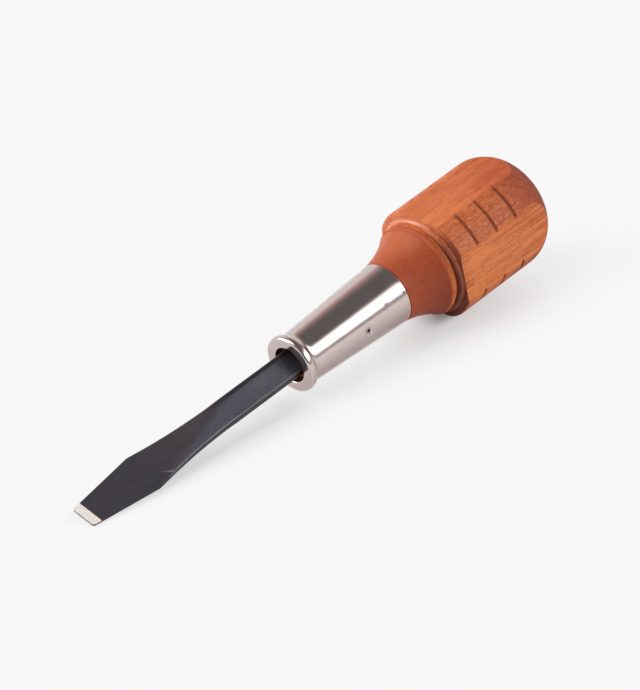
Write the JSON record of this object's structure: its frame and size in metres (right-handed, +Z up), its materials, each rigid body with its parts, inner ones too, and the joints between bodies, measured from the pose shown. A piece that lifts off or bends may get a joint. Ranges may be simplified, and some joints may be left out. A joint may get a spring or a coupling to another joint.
{
  "type": "flat screwdriver",
  "caption": "Flat-bladed screwdriver for saw nuts: forged blackened blade with a ground tip, pinned nickel ferrule and a turned hardwood handle with flats and ring grooves.",
  "frame": {"origin": "middle of the end face of the blade's tip", "axes": "+X along the tool from the tip to the butt; +Z up, square to the flat of the grip that faces up; +Y to the left, looking from tip to butt"},
  "size_m": [0.169, 0.0296, 0.0296],
  "materials": {
    "hardwood": "stained and satin varnished, grain along the handle",
    "nickel": "polished nickel plate",
    "pin_steel": "dark drawn wire",
    "blackened_steel": "blackened in the fire, ground bright at the tip"
  },
  "bodies": {
    "root": {"handle": "hardwood", "ferrule": "nickel", "ferrule_pin": "pin_steel", "blade": "blackened_steel"}
  },
  "joints": []
}
